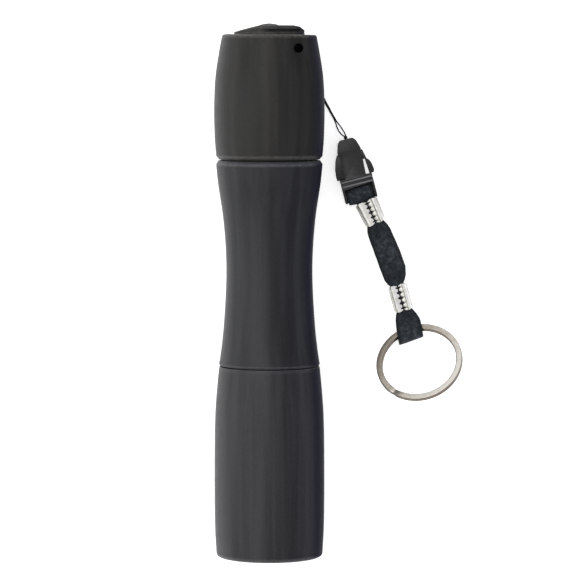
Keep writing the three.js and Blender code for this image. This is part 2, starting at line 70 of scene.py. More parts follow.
# ---- places, from the frame ----------------------------------------------------------------
BODY_LENGTH = 151.5  # lens rim to tail rim
BAR_ALONG = 16.1  # webbing bar, from the buckle's top end
RING_TILT = math.radians(38)
RING_REACH = 11.5  # ring centre, from the fold that it hangs in


def joint(name):
    return next(j for j in frame["joints"] if j["name"] == name)


def place(origin, angle=0.0):
    """Millimetres in a part's own frame, to metres in the row frame."""
    return Matrix.Translation(origin) @ Matrix.Rotation(angle, 4, "Z") @ Matrix.Scale(MM, 4)


def lanyard_place(joint_name, origin):
    """A frame on the surface whose X runs against the joint's axis."""
    axis = joint(joint_name)["axis"]
    return place(Vector((origin[0], origin[1], 0.0)), math.atan2(-axis[1], -axis[0]))


head_low, head_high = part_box("head_shell")
TORCH = place(Vector((0.0, head_low.y, (head_low.z + head_high.z) / 2)))
BAR = joint("strap_pivot")["pos_m"]
FOLD = joint("ring_swing")["pos_m"]
BUCKLE = lanyard_place("strap_pivot", BAR) @ Matrix.Translation((0, BAR_ALONG, 0))
STRAP = lanyard_place("ring_swing", BAR)
RING = (
    Matrix.Translation((0, 0, FOLD[2]))
    @ lanyard_place("ring_swing", FOLD)
    @ Matrix.Rotation(-RING_TILT, 4, "X")
    @ Matrix.Translation((0, -RING_REACH, 0))
)
TAIL_Y = head_low.y + BODY_LENGTH * MM


# ---- camera --------------------------------------------------------------------------------
CAMERA_DISTANCE = 0.93
CAMERA_LEAN = math.radians(4)  # from straight above, towards the tail
VIEW_CENTRE = Vector((0.00496, 0.0013, 0.016))
VIEW_WIDTH = 0.1662


def make_camera():
    data = bpy.data.cameras.new("camera")
    camera = bpy.data.objects.new("camera", data)
    bpy.context.scene.collection.objects.link(camera)
    data.lens = data.sensor_width * CAMERA_DISTANCE / VIEW_WIDTH
    back = Vector((0, math.sin(CAMERA_LEAN), math.cos(CAMERA_LEAN)))
    right = Vector((1, 0, 0))
    turn = Matrix((right, back.cross(right), back)).transposed().to_4x4()
    camera.matrix_world = Matrix.Translation(VIEW_CENTRE + back * CAMERA_DISTANCE) @ turn
    bpy.context.scene.camera = camera


# ---- outlines ------------------------------------------------------------------------------
def smooth_line(points, per_span):
    """Points on a centripetal Catmull-Rom curve through the given ones, in any dimension."""
    p = [np.array(q, float) for q in points]
    p = [2 * p[0] - p[1], *p, 2 * p[-1] - p[-2]]
    line = []
    for a, b, c, d in zip(p, p[1:], p[2:], p[3:]):
        tb = np.linalg.norm(b - a) ** 0.5
        tc = tb + np.linalg.norm(c - b) ** 0.5
        td = tc + np.linalg.norm(d - c) ** 0.5
        for k in range(per_span):
            t = tb + (tc - tb) * k / per_span
            ab = a + (b - a) * t / tb
            bc = b + (c - b) * (t - tb) / (tc - tb)
            cd = c + (d - c) * (t - tc) / (td - tc)
            abc = ab + (bc - ab) * t / tc
            bcd = bc + (cd - bc) * (t - tb) / (td - tb)
            line.append(abc + (bcd - abc) * (t - tb) / (tc - tb))
    return [tuple(q) for q in [*line, p[-2]]]


def rounded(corners, steps=4):
    """A closed outline, from corners given as (x, y) or (x, y, radius)."""
    outline = []
    for i, corner in enumerate(corners):
        here = Vector(corner[:2])
        before = Vector(corners[i - 1][:2]) - here
        after = Vector(corners[(i + 1) % len(corners)][:2]) - here
        if len(corner) < 3:
            outline.append(tuple(here))
            continue
        half = before.angle(after) / 2
        reach = min(corner[2] / math.tan(half), 0.98 * before.length, 0.98 * after.length)
        start = here + before.normalized() * reach
        end = here + after.normalized() * reach
        for k in range(steps + 1):
            t = k / steps
            outline.append(tuple(start.lerp(here, t).lerp(here.lerp(end, t), t)))
    return outline


def mirrored(points):
    """An outline's right side, and its left side back again."""
    return [*points, *[(-p[0], *p[1:]) for p in reversed(points)]]


def blend_in(low, high, x):
    t = min(max((x - low) / (high - low), 0.0), 1.0)
    return t * t * (3 - 2 * t)


def lookup(table, x):
    """A value between the (position, value) pairs of a table."""
    return float(np.interp(x, [row[0] for row in table], [row[1] for row in table]))


# ---- meshes --------------------------------------------------------------------------------
def solid(name, points, faces, where, sharp=40):
    """A closed mesh from points in millimetres, smooth apart from its sharp edges."""
    mesh = bpy.data.meshes.new(name)
    mesh.from_pydata([where @ Vector(p) for p in points], [], faces)
    shape = bmesh.new()
    shape.from_mesh(mesh)
    bmesh.ops.remove_doubles(shape, verts=shape.verts, dist=1e-7)
    bmesh.ops.dissolve_degenerate(shape, edges=shape.edges, dist=1e-7)
    bmesh.ops.recalc_face_normals(shape, faces=shape.faces)
    shape.to_mesh(mesh)
    shape.free()
    mesh.shade_smooth()
    mesh.set_sharp_from_angle(angle=math.radians(sharp))
    piece = bpy.data.objects.new(name, mesh)
    bpy.context.scene.collection.objects.link(piece)
    return piece


def bridged(rings, closed=False):
    """Points and faces of a tube through closed rings of points, capped where it isn't closed."""
    count = len(rings[0])
    points = [p for ring in rings for p in ring]
    faces = []
    for i in range(len(rings) if closed else len(rings) - 1):
        a = i * count
        b = (i + 1) % len(rings) * count
        faces += [(a + j, a + (j + 1) % count, b + (j + 1) % count, b + j) for j in range(count)]
    if not closed:
        faces.append(tuple(range(count)))
        faces.append(tuple(range(len(points) - count, len(points))))
    return points, faces


def revolve(name, outline, where=None, sides=144, sharp=40):
    """A closed outline of (radius, y) turned about Y. It may be a function of the angle."""
    rings = []
    for i in range(sides):
        angle = 2 * math.pi * i / sides
        flat = outline(angle) if callable(outline) else outline
        rings.append([(r * math.sin(angle), y, r * math.cos(angle)) for r, y in flat])
    points, faces = bridged(rings, closed=True)
    return solid(name, points, faces, TORCH if where is None else where, sharp)


def prism(name, outline, low, high, where):
    """A plan outline with its depth along Z."""
    rings = [[(x, y, z) for x, y in outline] for z in (low, high)]
    return solid(name, *bridged(rings), where)


def box_outline(x0, x1, y0, y1):
    return [(x0, y0), (x1, y0), (x1, y1), (x0, y1)]


def cylinder_outline(radius, low, high):
    return [(0, low), (radius, low), (radius, high), (0, high)]


def settle(piece, sharp=40):
    """Applies a piece's modifiers."""
    graph = bpy.context.evaluated_depsgraph_get()
    mesh = bpy.data.meshes.new_from_object(piece.evaluated_get(graph))
    piece.modifiers.clear()
    piece.data = mesh
    mesh.shade_smooth()
    mesh.set_sharp_from_angle(angle=math.radians(sharp))
    return piece


def cut(piece, *tools):
    """Cuts the tools out of the piece and removes them."""
    for tool in tools:
        modifier = piece.modifiers.new("cut", "BOOLEAN")
        modifier.operation = "DIFFERENCE"
        modifier.solver = "EXACT"
        modifier.object = tool
        settle(piece)
        bpy.data.objects.remove(tool)
    return piece


def soften(piece, width, segments=3, angle=30):
    """Rounds every edge sharper than the angle."""
    modifier = piece.modifiers.new("soften", "BEVEL")
    modifier.width = width * MM
    modifier.segments = segments
    modifier.limit_method = "ANGLE"
    modifier.angle_limit = math.radians(angle)
    modifier.use_clamp_overlap = True
    return settle(piece)


def merged(name, *pieces):
    """Several closed meshes as one piece."""
    whole = bmesh.new()
    for piece in pieces:
        whole.from_mesh(piece.data)
        bpy.data.objects.remove(piece)
    mesh = bpy.data.meshes.new(name)
    whole.to_mesh(mesh)
    whole.free()
    mesh.shade_smooth()
    mesh.set_sharp_from_angle(angle=math.radians(40))
    joined = bpy.data.objects.new(name, mesh)
    bpy.context.scene.collection.objects.link(joined)
    return joined


def carried(path):
    """A (centre, side, up) at each point of a path, turned as little as possible on the way."""
    centres = [Vector(p) for p in path]
    side = None
    frames = []
    for i, centre in enumerate(centres):
        ahead = (centres[min(i + 1, len(centres) - 1)] - centres[max(i - 1, 0)]).normalized()
        if side is None:
            side = ahead.orthogonal().normalized()
        side = (side - ahead * side.dot(ahead)).normalized()
        frames.append((centre, side, ahead.cross(side)))
    return frames


def rope_rings(path, radius, sides, pitch, strands=3):
    """Rings round a path, with the shallow lobes of twisted strands."""
    rings = []
    travelled = 0.0
    before = None
    for centre, side, up in carried(path):
        travelled += (centre - before).length if before else 0.0
        before = centre
        ring = []
        for k in range(sides):
            around = 2 * math.pi * k / sides
            lobe = math.cos(strands * (around - 2 * math.pi * travelled / pitch))
            r = radius * (0.9 + 0.1 * lobe)
            ring.append(centre + side * r * math.cos(around) + up * r * math.sin(around))
        rings.append(ring)
    return rings


def mark_wear_and_highlight(piece, more_past=None, more=1.0):
    """Gives each point how sharply its surface bends outwards there, for edges made lighter partly
    by wear and, on the torch's shells, partly by a painted highlight.

    Past more_past along Y the edges get more of this lightening.
    """
    shape = bmesh.new()
    shape.from_mesh(piece.data)
    full = math.radians(34)
    wear_and_highlight = []
    for point in shape.verts:
        bends = [e.calc_face_angle_signed(0.0) for e in point.link_edges if e.is_manifold]
        rubbed_and_lit = max([0.0, *bends]) / full
        if more_past is not None and point.co.y > more_past:
            rubbed_and_lit *= more
        wear_and_highlight.append(min(rubbed_and_lit, 1.0))
    shape.free()
    attribute = piece.data.attributes.new("wear_and_highlight", "FLOAT", "POINT")
    attribute.data.foreach_set("value", wear_and_highlight)


# ---- materials -----------------------------------------------------------------------------
class Paint:
    """A material's node tree, in millimetres."""

    def __init__(self, name, **sockets):
        self.material = bpy.data.materials.new(name)
        self.material.use_nodes = True
        self.tree = self.material.node_tree
        self.shader = self.tree.nodes["Principled BSDF"]
        for socket, value in sockets.items():
            self.shader.inputs[socket.replace("_", " ")].default_value = value
        self.where = None

    def node(self, kind, inputs=(), **settings):
        made = self.tree.nodes.new("ShaderNode" + kind)
        for setting, value in settings.items():
            setattr(made, setting, value)
        for socket, value in dict(inputs).items():
            if isinstance(value, bpy.types.NodeSocket):
                self.tree.links.new(value, made.inputs[socket])
            else:
                made.inputs[socket].default_value = value
        return made

    def place(self, stretch=(1, 1, 1)):
        """Millimetres in the row frame, stretched."""
        if self.where is None:
            self.where = self.node("TexCoord").outputs["Object"]
        scale = [s / MM for s in stretch]
        return self.node("Mapping", {"Vector": self.where, "Scale": scale}).outputs["Vector"]

    def noise(self, scale, detail=2.0, stretch=(1, 1, 1), where=None):
        where = where or self.place(stretch)
        inputs = {"Vector": where, "Scale": scale, "Detail": detail}
        return self.node("TexNoise", inputs).outputs["Fac"]

    def attribute(self, name):
        return self.node("Attribute", attribute_name=name).outputs["Fac"]

    def math(self, operation, a, b=0.0, c=0.0):
        made = self.node("Math", {0: a, 1: b, 2: c}, operation=operation)
        return made.outputs[0]

    def ramp(self, value, *stops):
        made = self.node("ValToRGB", {"Fac": value})
        elements = made.color_ramp.elements
        for k, (at, colour) in enumerate(stops):
            element = elements[k] if k < 2 else elements.new(at)
            element.position = at
            element.color = (*colour, 1.0)
        return made.outputs["Color"]

    def mix(self, share, a, b):
        made = self.node("Mix", {0: share}, data_type="RGBA")
        for socket, value in ((6, a), (7, b)):
            if isinstance(value, bpy.types.NodeSocket):
                self.tree.links.new(value, made.inputs[socket])
            else:
                made.inputs[socket].default_value = (*value, 1.0)
        return made.outputs[2]

    def span(self, value, low, high, start=0.0, end=1.0):
        """Maps start..end to low..high, and holds it beyond them."""
        inputs = {"Value": value, "From Min": start, "From Max": end, "To Min": low, "To Max": high}
        return self.node("MapRange", inputs).outputs["Result"]

    def bump(self, height, depth, strength=1.0, under=None):
        inputs = {"Height": height, "Distance": depth * MM, "Strength": strength}
        if under is not None:
            inputs["Normal"] = under
        return self.node("Bump", inputs).outputs["Normal"]

    def use(self, **sockets):
        for socket, value in sockets.items():
            self.tree.links.new(value, self.shader.inputs[socket.replace("_", " ")])
        return self.material


def shell_paint(name, tint):
    """Satin moulded plastic: fine grain, broad bands of tone along the torch painted as soft
    reflection bands, and edges made lighter, partly as wear and partly as a painted highlight.

    On the side that faces the lanyard a navy shade is painted into the colour, and the shine fades
    from the opposite side towards it.
    """
    paint = Paint(name, IOR=1.45)
    dark = [0.62 * c for c in tint]
    light = [1.4 * c for c in tint]
    # painted reflection: broad bands along the torch stand in for soft reflection bands
    painted_reflection_streaks = paint.noise(0.26, 3.0, stretch=(1, 0.03, 1))
    body = paint.ramp(painted_reflection_streaks, (0.36, dark), (0.64, light))
    # edges lighter partly from wear and partly as a painted highlight
    rubbed_and_lit = paint.math("MULTIPLY", paint.attribute("wear_and_highlight"), paint.noise(1.4, 4.0))
    colour = paint.mix(rubbed_and_lit, body, [c * 7.0 for c in tint])
    normal = paint.node("TexCoord").outputs["Normal"]
    # painted shade: the side facing +X turns navy, and the shine falls away towards it
    facing = paint.node("SeparateXYZ", {"Vector": normal}).outputs[0]
    navy_shade_mask = paint.span(facing, 0.0, 1.0, 0.74, 0.9)
    colour = paint.mix(navy_shade_mask, colour, (0.0058, 0.0061, 0.0142))
    shine = paint.span(facing, 0.3, 0.02, -0.2, 0.75)
    roughness = paint.span(paint.noise(0.5, 4.0), 0.4, 0.54)
    grain = paint.bump(paint.noise(9.0, 3.0), 0.01)
    return paint.use(
        Base_Color=colour, Roughness=roughness, Normal=grain, Specular_IOR_Level=shine,
    )


def plastic_paint(name, tint, rough, grain_scale=7.0, grain_depth=0.008, shine=0.4, highlight_above=None):
    """Moulded plastic or rubber. Whatever stands higher than the given height gets a pale painted
    highlight.
    """
    paint = Paint(name, Roughness=rough, IOR=1.48, Specular_IOR_Level=shine)
    cloud = paint.noise(0.5, 4.0)
    colour = paint.ramp(cloud, (0.3, [0.8 * c for c in tint]), (0.7, [1.25 * c for c in tint]))
    rubbed_and_lit = paint.math("MULTIPLY", paint.attribute("wear_and_highlight"), paint.noise(2.0, 3.0))
    colour = paint.mix(rubbed_and_lit, colour, [min(3.0 * c + 0.02, 1.0) for c in tint])
    if highlight_above is not None:
        # painted highlight: the tops of raised ribs are lightened
        height = paint.node("SeparateXYZ", {"Vector": paint.place()}).outputs[2]
        pale = paint.span(height, 0.0, 1.0, highlight_above, highlight_above + 0.12)
        colour = paint.mix(pale, colour, (0.14, 0.14, 0.145))
    roughness = paint.span(paint.noise(1.1, 4.0), rough * 0.8, rough * 1.25)
    grain = paint.bump(paint.noise(grain_scale, 3.0), grain_depth)
    return paint.use(Base_Color=colour, Roughness=roughness, Normal=grain)


def metal_paint(name, light, dark, rough, stretch=(1, 1, 1), depth=0.01):
    """Plated or brushed metal: clouded colour, fine scratches along one way."""
    paint = Paint(name, Metallic=1.0, Roughness=rough)
    cloud = paint.noise(0.45, 5.0)
    colour = paint.ramp(cloud, (0.32, dark), (0.62, light))
    scratches = paint.noise(6.0, 6.0, stretch)
    roughness = paint.span(scratches, rough * 0.7, rough * 1.4)
    return paint.use(Base_Color=colour, Roughness=roughness, Normal=paint.bump(scratches, depth))


def webbing_paint():
    """A plain weave laid along the strap by its own coordinates, with fuzz, lint, and painted shade
    towards its edges and in its gathers.
    """
    paint = Paint("webbing_weave", Roughness=0.8, Specular_IOR_Level=0.25, Sheen_Weight=0.08)
    paint.shader.inputs["Sheen Tint"].default_value = (0.7, 0.85, 1.0, 1.0)
    yarns = 2.2  # across one millimetre
    uv = paint.node("UVMap", uv_map="along").outputs["UV"]
    split = paint.node("SeparateXYZ", {"Vector": uv}).outputs
    warp, weft = [
        paint.math("ABSOLUTE", paint.math("SINE", paint.math("MULTIPLY", way, math.pi * yarns)))
        for way in (split[1], split[0])
    ]
    over = paint.node("TexChecker", {"Vector": uv, "Scale": yarns}).outputs["Fac"]
    height = paint.node("Mix", {0: over, 2: warp, 3: weft}, data_type="FLOAT").outputs[0]
    low, high = (0.004, 0.0052, 0.0065), (0.018, 0.0235, 0.03)
    colour = paint.ramp(height, (0.15, low), (0.95, high))
    lint = paint.ramp(paint.noise(0.9, 7.0), (0.42, (0.0, 0.0, 0.0)), (0.75, (0.8, 0.8, 0.8)))
    colour = paint.mix(lint, colour, (0.07, 0.083, 0.096))
    # painted shade: darker towards the strap's edges and in its gathered creases
    colour = paint.mix(paint.attribute("edge"), colour, (0.0035, 0.0045, 0.006))
    fuzz = paint.bump(paint.noise(14.0, 3.0), 0.03, 0.6)
    weave = paint.bump(height, 0.09, 1.0, fuzz)
    return paint.use(Base_Color=colour, Normal=weave)


def cord_paint():
    paint = Paint("cord_twist", Roughness=0.7, Specular_IOR_Level=0.3)
    fibre = paint.noise(8.0, 4.0)
    colour = paint.ramp(fibre, (0.35, (0.004, 0.004, 0.005)), (0.75, (0.02, 0.02, 0.022)))
    return paint.use(Base_Color=colour, Normal=paint.bump(fibre, 0.03))


def crimp_paint():
    """Bright plating, with painted shade where the lips roll in to the seam and along the sleeve's
    sides.
    """
    paint = Paint("crimp_plating", Metallic=1.0, Roughness=0.4)
    cloud = paint.noise(0.8, 5.0)
    bright = paint.ramp(cloud, (0.3, (0.62, 0.61, 0.54)), (0.62, (0.85, 0.84, 0.79)))
    # painted shade colour, at the seam and the sides
    colour = paint.mix(paint.attribute("seam"), bright, (0.1, 0.1, 0.09))
    scratches = paint.noise(5.0, 6.0, (1, 0.15, 1))
    roughness = paint.span(scratches, 0.28, 0.55)
    return paint.use(Base_Color=colour, Roughness=roughness, Normal=paint.bump(scratches, 0.02))


def ring_paint():
    """Warm nickel with fine marks and a brownish tone that varies at random, with painted light
    that is pale towards one side and brown towards the other, and painted shade at the rims.
    """
    paint = Paint("ring_plating", Metallic=1.0, Roughness=0.24)
    middle = RING @ Vector((0, 0, 0)) / MM
    axes = paint.node("SeparateXYZ", {"Vector": paint.place()}).outputs
    # painted light: a gradient across the ring in the row frame, pale one way and brown the other
    across = paint.math("MULTIPLY_ADD", axes[0], 0.028, 0.5 - 0.028 * middle.x)
    along = paint.math("MULTIPLY_ADD", axes[1], -0.024, 0.024 * middle.y)
    side = paint.math("ADD", across, along)
    side = paint.math("SUBTRACT", side, 0.25)
    tone_and_side_light = paint.math("MULTIPLY_ADD", paint.noise(0.5, 3.0), 0.5, side)
    brown, warm, pale = (0.42, 0.37, 0.31), (0.64, 0.59, 0.52), (0.88, 0.85, 0.78)
    colour = paint.ramp(tone_and_side_light, (0.2, brown), (0.85, pale), (0.5, warm))
    # painted shade on the wire's rims
    colour = paint.mix(paint.attribute("rim"), colour, (0.15, 0.12, 0.095))
    marks = paint.noise(4.5, 6.0)
    roughness = paint.span(marks, 0.18, 0.4)
    return paint.use(Base_Color=colour, Roughness=roughness, Normal=paint.bump(marks, 0.008))


def lens_paint():
    paint = Paint("lens_clear", Roughness=0.02, IOR=1.49)
    paint.shader.inputs["Transmission Weight"].default_value = 1.0
    haze = paint.span(paint.noise(0.9, 5.0), 0.0, 0.06)
    tint = paint.ramp(paint.noise(0.1), (0.4, (0.95, 0.97, 0.98)), (0.6, (1.0, 1.0, 1.0)))
    return paint.use(Base_Color=tint, Roughness=haze)


def mirror_paint():
    paint = Paint("reflector_mirror", Metallic=1.0, Roughness=0.07)
    colour = paint.ramp(paint.noise(0.3), (0.35, (0.82, 0.82, 0.81)), (0.65, (0.93, 0.93, 0.92)))
    peel = paint.bump(paint.noise(1.6, 2.0), 0.02, 0.5)
    return paint.use(Base_Color=colour, Normal=peel)


def led_paint():
    """A yellow phosphor colour with a clear coat, for the whole emitter."""
    paint = Paint("led_phosphor", Roughness=0.18)
    paint.shader.inputs["Coat Weight"].default_value = 0.8
    grain = paint.noise(5.0, 3.0)
    colour = paint.ramp(grain, (0.3, (0.78, 0.62, 0.16)), (0.7, (0.9, 0.78, 0.3)))
    return paint.use(Base_Color=colour, Normal=paint.bump(grain, 0.01))


def make_slot_paints():
    """The finish of each material slot that CAD nodes inside the torch keep."""
    return {
        "inner_plastic": plastic_paint("inner_plastic", (0.012, 0.012, 0.013), 0.45),
        "rubber": plastic_paint("rubber_seal", (0.018, 0.018, 0.018), 0.7, 10.0, 0.02),
        "spring_steel": metal_paint("spring_steel", (0.72, 0.71, 0.68), (0.5, 0.49, 0.46), 0.28),
        "brass": metal_paint("brass_contact", (0.82, 0.62, 0.28), (0.6, 0.42, 0.16), 0.3),
        "cell": plastic_paint("cell_wrap", (0.04, 0.15, 0.08), 0.3, 2.0, 0.01),
        "heatsink": metal_paint("heatsink_turned", (0.68, 0.68, 0.69), (0.5, 0.5, 0.51), 0.35),
        "board": plastic_paint("board_mask", (0.015, 0.1, 0.04), 0.35, 3.0, 0.02),
    }


INNER_NODES = {
    "inner_plastic": ("switch_housing", "switch_plunger", "carrier_frame"),
    "spring_steel": ("front_contact_spring", "cell_spring_1", "cell_spring_2", "cell_spring_3"),
    "brass": (
        "switch_retainer", "tail_contact_post", "carrier_front_contact", "carrier_rear_contact",
    ),
    "cell": ("battery_cell_1", "battery_cell_2", "battery_cell_3"),
    "heatsink": ("led_holder",),
    "board": ("led_board", "driver_board"),
}


def finished(piece, paint, slot, body, *stands_for):
    """Gives a finished mesh its material and the body that it rides on. Its slot is not used."""
    piece.data.materials.clear()
    piece.data.materials.append(paint)
    if stands_for:
        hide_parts(*stands_for)
    if body:
        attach(piece, body)
    return piece


# ---- lanyard cord --------------------------------------------------------------------------
CORD_D = 0.45
# (x, distance below the tail rim, z): knot, strand, hole, rim, bight, rim, hole, strand, knot.
CORD_ROUTE = [
    (22.15, 29.75, 2.1), (21.0, 28.95, 1.6), (19.95, 27.35, 0.9), (19.25, 25.3, 0.4),
    (16.02, 19.35, 0.3), (12.8, 13.4, 0.45), (10.6, 9.2, 1.2), (9.0, 6.2, 2.2),
    (8.15, 4.4, 2.95), (8.05, 3.6, 4.1), (8.05, 3.45, 6.0), (8.0, 3.0, 7.9),
    (7.8, 1.6, 8.5), (7.55, 0.1, 8.1), (7.4, -0.6, 6.6), (7.3, -0.4, 4.9),
    (7.25, 0.5, 3.95), (7.2, 2.5, 3.35), (7.3, 4.3, 3.05), (8.35, 5.85, 3.4),
    (9.45, 4.4, 3.95), (9.55, 2.5, 4.5), (9.5, 0.7, 5.3), (9.4, -0.4, 6.4),
    (9.3, -0.7, 7.9), (9.2, 0.0, 9.45), (9.05, 1.6, 9.7), (8.8, 3.0, 8.9),
    (8.75, 3.45, 7.0), (8.75, 3.6, 4.7), (8.85, 4.35, 3.3), (9.75, 6.0, 2.3),
    (11.2, 8.95, 1.25), (13.2, 13.2, 0.65), (16.36, 19.18, 0.52), (19.58, 25.08, 0.66),
    (20.8, 26.7, 1.0), (21.95, 28.55, 1.6), (22.4, 29.6, 2.1),
]


def by_tail(point):
    x, down, z = point
    return Vector((x * MM, TAIL_Y - down * MM, z * MM))


def lanyard_cord(paint):
    path = smooth_line([by_tail(p) for p in CORD_ROUTE], 14)
    rings = rope_rings(path, CORD_D / 2 * MM, 12, 1.3 * MM)
    cord = solid("cord_strands", *bridged(rings), Matrix.Identity(4), sharp=80)
    finished(cord, paint, "cord", None, "lanyard_cord")
    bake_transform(cord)


def cord_knot(paint):
    """A small overhand knot, its stub through the buckle's eye and the stopper inside."""
    middle = 2.1
    loop = []
    for i in range(96):
        t = 2 * math.pi * i / 96
        wide = 0.3 * (math.sin(t) + 2 * math.sin(2 * t)) / 2.2
        long = 0.3 * (math.cos(t) - 2 * math.cos(2 * t)) / 2.2
        deep = -0.3 * math.sin(3 * t) / 1.2
        loop.append((wide, 0.35 + long, middle + deep))
    path = [*loop, loop[0], loop[1]]
    rings = rope_rings(path, 0.22, 10, 0.9)[1:-1]
    knot = solid("knot_loop", *bridged(rings, closed=True), BUCKLE, sharp=80)
    level = BUCKLE @ Matrix.Translation((0, 0, middle))
    stub = [
        (0, -3.1), (0.68, -2.95), (0.74, -2.7), (0.6, -2.5), (0.28, -2.35), (0.26, 0.3), (0, 0.5),
    ]
    core = revolve("knot_stub", stub, level, 24)
    return finished(merged("knot_and_stub", knot, core), paint, "cord", "buckle", "cord_knot")


# ---- torch ---------------------------------------------------------------------------------
# From the lens rim: head to 55.55, grip from 55.85 to 115.3, cap from 115.6 to the tail rim.
BULGE_R = 15.98
THREAD_PITCH = 2.4
THREAD_TURNS = 2
THREAD_FROM = 119.3  # where the grip's ridge starts; the cap's starts half a pitch earlier
SPIGOT_R = 12.8  # root of the grip's thread
SOCKET_R = 13.75  # root of the cap's thread
RIDGE = 0.45  # height of either thread
HOLE_X = 8.4
HOLE_DEPTH = 3.9
HOLE_R = 1.35
MOAT_R = 11.9  # well between the rim and the collar round the button
COLLAR_R = 10.2
BORE_R = 6.0
LED_HALF = 1.75  # half the emitter's side
BOOT_BASE = 140.2  # flange of the rubber boot
BUTTON_TOP = 154.8


def thread_rise(y, angle, start):
    """Share of a thread ridge's height at a place on a cylinder."""
    turn = (y - start) / THREAD_PITCH - angle / (2 * math.pi)
    nearest = round(turn)
    if not 0 <= nearest < THREAD_TURNS:
        return 0.0
    share = (nearest + angle / (2 * math.pi)) / THREAD_TURNS
    run_out = min(blend_in(0, 0.06, share), blend_in(0, 0.06, 1 - share))
    off = abs(turn - nearest) * THREAD_PITCH
    return run_out * (1 - blend_in(0.2, 0.45, off))


def head_shell(paint):
    skin = [(15.5, 1.25), (15.85, 8), (BULGE_R, 24), (15.75, 41.5), (15.2, 49.3), (14.66, 54.9)]
    outline = rounded([
        (13.4, 0, 0.3), (15.47, 0, 1.2), *smooth_line(skin, 9), (14.5, 55.55, 0.25),
        (13.3, 55.55, 0.1), (13.3, 45.7), (13.6, 45.7), (13.6, 5.5), (13.2, 5.5),
        (13.2, 2.2, 0.1), (13.4, 2.0, 0.1),
    ])
    shell = revolve("head_casing", outline)
    mark_wear_and_highlight(shell)
    finished(shell, paint, "shell", "root", "head_shell")


def grip_tube(paint):
    skin = [
        (14.62, 56.4), (14.3, 58.2), (13.3, 66.7), (12.48, 84.1), (13.3, 98), (14.85, 108.7),
        (15.42, 114.2),
    ]
    first = [
        (11.25, 46, 0.2), (13.0, 46, 0.2), (13.0, 55.85), (14.5, 55.85, 0.25),
        *smooth_line(skin, 9), (14.7, 115.3, 0.15), (SPIGOT_R, 115.3, 0.05),
        (SPIGOT_R, 116.5, 0.08), (12.15, 116.5, 0.08), (12.15, 118.1, 0.08),
        (SPIGOT_R, 118.1, 0.08),
    ]
    last = [(SPIGOT_R, 125.5), (12.3, 126, 0.1), (11.25, 126, 0.1)]
    levels = np.arange(118.4, 125.2, 0.13)

    def outline(angle):
        spiral = [(SPIGOT_R + RIDGE * thread_rise(y, angle, THREAD_FROM), y) for y in levels]
        return rounded([*first, *spiral, *last])

    tube = revolve("grip_casing", outline)
    mark_wear_and_highlight(tube)
    finished(tube, paint, "shell", "root", "grip_tube")


def collar_top(x):
    """Height of the collar's sloped top above the rim: low at the left, full from the middle."""
    return lookup([(-10.2, 0.8), (-2.8, 2.65), (7.4, 2.65), (9.0, 2.3), (10.2, 1.35)], x)


def collar_outline(across):
    """The collar's section, from the moat to the bore, with a groove that opens to the right."""
    side = COLLAR_R * across
    top = collar_top(side)
    low, high = min(0.75, 0.35 * top), min(1.6, 0.65 * top)
    deep = 0.05 + 0.95 * blend_in(-3.0, 1.5, side) * (1 - blend_in(8.9, 9.9, side))
    levels = [
        (MOAT_R, -5.7, 0.3), (COLLAR_R, -5.7, 0.3), (COLLAR_R, low, 0.12),
        (COLLAR_R - deep, low, 0.04), (COLLAR_R - deep, high, 0.04), (COLLAR_R, high, 0.12),
        (COLLAR_R, top, 0.4), (BORE_R, collar_top(BORE_R * across), 0.35),
    ]
    return [(r, BODY_LENGTH + up, bend) for r, up, bend in levels]


def radial(angle):
    """A frame at the hole's height whose Y runs out from the torch's axis."""
    turn = Matrix.Rotation(angle, 4, "Y") @ Matrix.Rotation(math.pi / 2, 4, "X")
    return TORCH @ Matrix.Translation((0, BODY_LENGTH - HOLE_DEPTH, 0)) @ turn


def tail_cap(paint):
    skin = [
        (15.38, 116.55), (15.75, 121), (BULGE_R, 130.2), (15.55, 139.6), (14.4, 147.3),
        (13.85, 150.3),
    ]
    skin = [(14.6, 115.6, 0.15), *smooth_line(skin, 9)]
    levels = np.arange(125.4, 118.0, -0.13)

    def outline(angle):
        bore = [(BORE_R, 141.5, 0.1), (12.4, 141.5, 0.2), (12.4, 127, 0.2), (SOCKET_R, 127, 0.1)]
        start = THREAD_FROM - THREAD_PITCH / 2
        spiral = [(SOCKET_R - RIDGE * thread_rise(y, angle, start), y) for y in levels]
        across = math.sin(angle)
        raised = 151.45 + 0.4 * blend_in(0.6, 1.0, -across)
        rim = [(13.6, 151.5, 0.75), (MOAT_R, raised, 0.5)]
        collar = collar_outline(across)
        return rounded([*skin, *rim, *collar, *bore, *spiral, (SOCKET_R, 115.6, 0.15)])

    cap = revolve("tail_casing", outline)
    # worn edges and painted highlight, three times as strong on the tail rim's edge where it
    # catches the light
    mark_wear_and_highlight(cap, TAIL_Y - 1.0 * MM, 3.0)
    # the lanyard hole pierces the rim wall at the top and the bottom, with its edge broken
    keep = revolve("keep", cylinder_outline((COLLAR_R + MOAT_R) / 2, 140, 160), TORCH, 60)
    upright = radial(0) @ Matrix.Translation((HOLE_X, 0, 0))
    cut(cap, cut(revolve("drill", cylinder_outline(HOLE_R, -20, 20), upright, 40), keep))
    skin_r = 14.35
    lean = math.asin(HOLE_X / skin_r)
    broken = [(0, skin_r - 0.6), (1.1, skin_r - 0.6), (2.3, skin_r + 0.6), (0, skin_r + 0.6)]
    for angle in (lean, math.pi - lean):
        cut(cap, revolve("broken_edge", broken, radial(angle), 40))
    finished(cap, paint, "shell", "tail_cap", "tail_cap")


